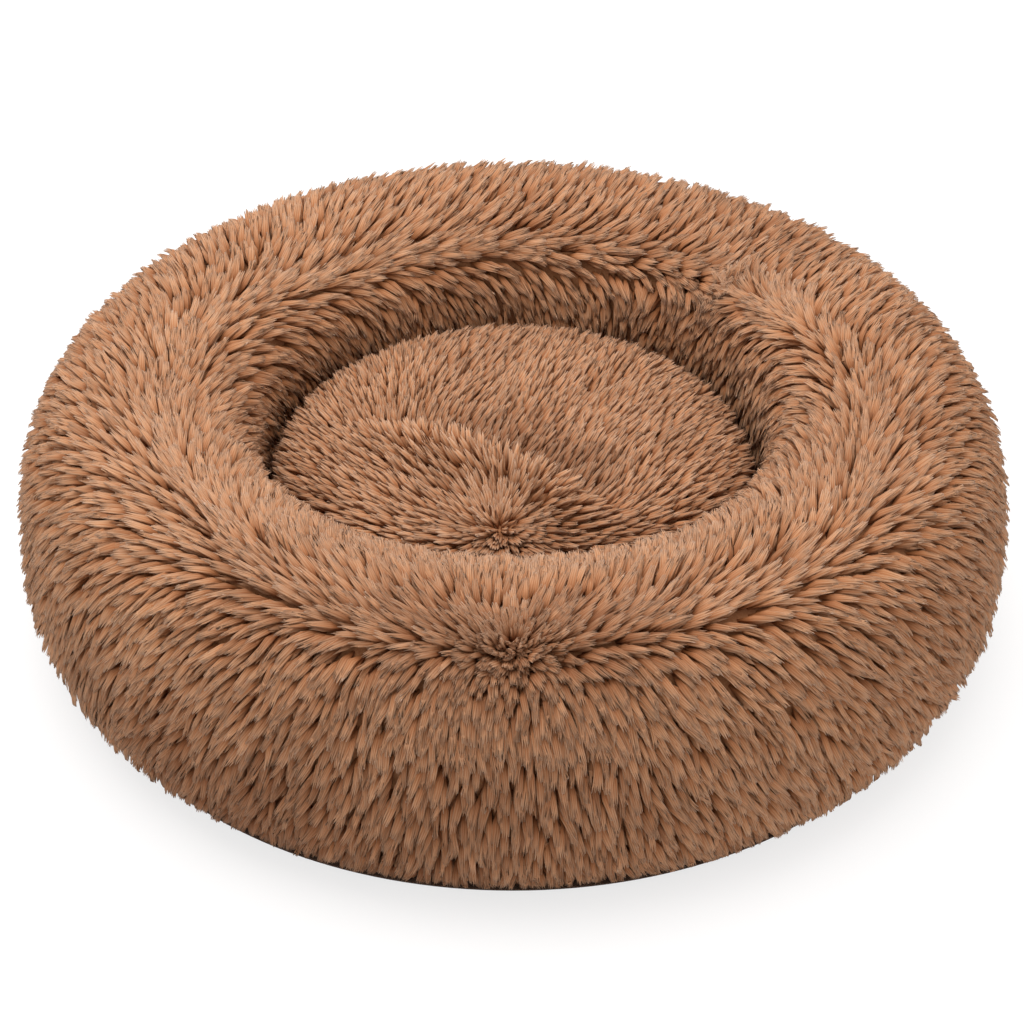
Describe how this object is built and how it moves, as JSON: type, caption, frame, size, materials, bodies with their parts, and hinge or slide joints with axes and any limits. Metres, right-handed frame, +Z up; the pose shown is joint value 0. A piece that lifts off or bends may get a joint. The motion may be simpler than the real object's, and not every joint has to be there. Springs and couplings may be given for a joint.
{
  "type": "round cat bed",
  "caption": "Round stuffed-ring pet bed in long plush with a loose cushion in its well, a hidden zip low at the back and a flat base with grip pads.",
  "frame": {"origin": "on the floor under the middle of the bed, the middle of the underside of the central grip pad", "axes": "+Z up, +Y to the back of the bed where the zip is, +X to the right seen from the front"},
  "size_m": [0.5, 0.5, 0.144],
  "materials": {
    "long_pile": "long polyester pile lying in locks",
    "cushion_pile": "long polyester pile lying in locks",
    "liner_cloth": "white non-woven",
    "fibre": "white hollow fibre",
    "oxford": "dark brown oxford weave with fused vinyl pads",
    "floor_lining": "brushed lining",
    "wadding": "bonded wadding",
    "short_plush": "short plush",
    "zip_tape": "woven zip tape",
    "zip_nylon": "nylon coil",
    "zip_metal": "bronzed, satin"
  },
  "bodies": {
    "ring": {"outer_wall_left": "long_pile", "outer_wall_right": "long_pile", "inner_wall_left": "long_pile", "inner_wall_right": "long_pile", "ring_liner": "liner_cloth", "ring_filling": "fibre", "base_panel": "oxford", "base_binding": "oxford", "base_wadding": "wadding", "floor_panel": "floor_lining", "zip_tape_upper": "zip_tape", "zip_tape_lower": "zip_tape", "zip_coil_upper": "zip_nylon", "zip_coil_lower": "zip_nylon", "zip_top_stop_upper": "zip_metal", "zip_top_stop_lower": "zip_metal", "zip_bottom_stop": "zip_metal"},
    "cushion": {"cushion_top_panel": "cushion_pile", "cushion_bottom_panel": "short_plush", "cushion_filling": "fibre"},
    "slider": {"zip_slider": "zip_metal"},
    "pull_tab": {"zip_pull_tab": "zip_metal"}
  },
  "joints": [
    {"name": "cushion_lift", "type": "slide", "parent": "ring", "child": "cushion", "axis": [0, 0, 1], "range_m": [0, 0.2]},
    {"name": "zip_slide", "type": "hinge", "parent": "ring", "child": "slider", "pos_m": [0, 0, 0], "axis": [0, 0, 1], "range_deg": [0, 110]},
    {"name": "zip_pull_swing", "type": "hinge", "parent": "slider", "child": "pull_tab", "pos_m": [0.13049, 0.20483, 0.03], "axis": [0, 0, -1], "range_deg": [0, 175]}
  ]
}
